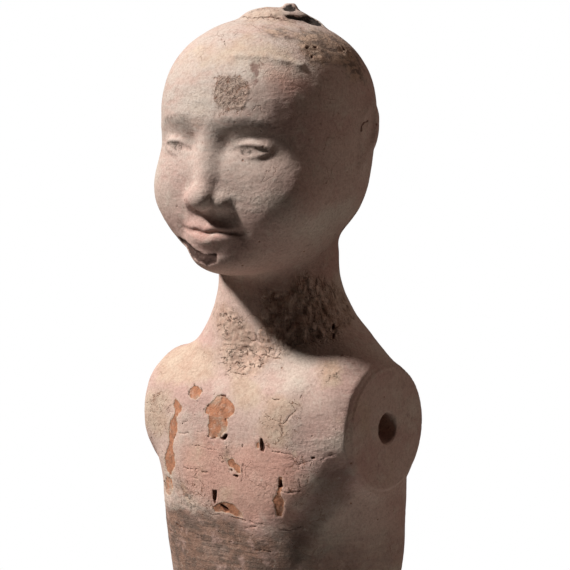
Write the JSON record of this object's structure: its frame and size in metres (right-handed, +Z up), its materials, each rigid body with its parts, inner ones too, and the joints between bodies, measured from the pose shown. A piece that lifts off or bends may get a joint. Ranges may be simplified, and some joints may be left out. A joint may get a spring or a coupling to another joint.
{
  "type": "statuette",
  "caption": "Upright nude clay statuette with a small topknot, flat round shoulder faces bored through for wooden arms, on a low base.",
  "frame": {"origin": "middle of the base's underside", "axes": "+Z up, -Y the way the figure faces, +X to the figure's left"},
  "size_m": [0.116, 0.112, 0.6136],
  "materials": {
    "painted_clay": "matte"
  },
  "bodies": {
    "root": {"clay_figure": "painted_clay"}
  },
  "joints": []
}
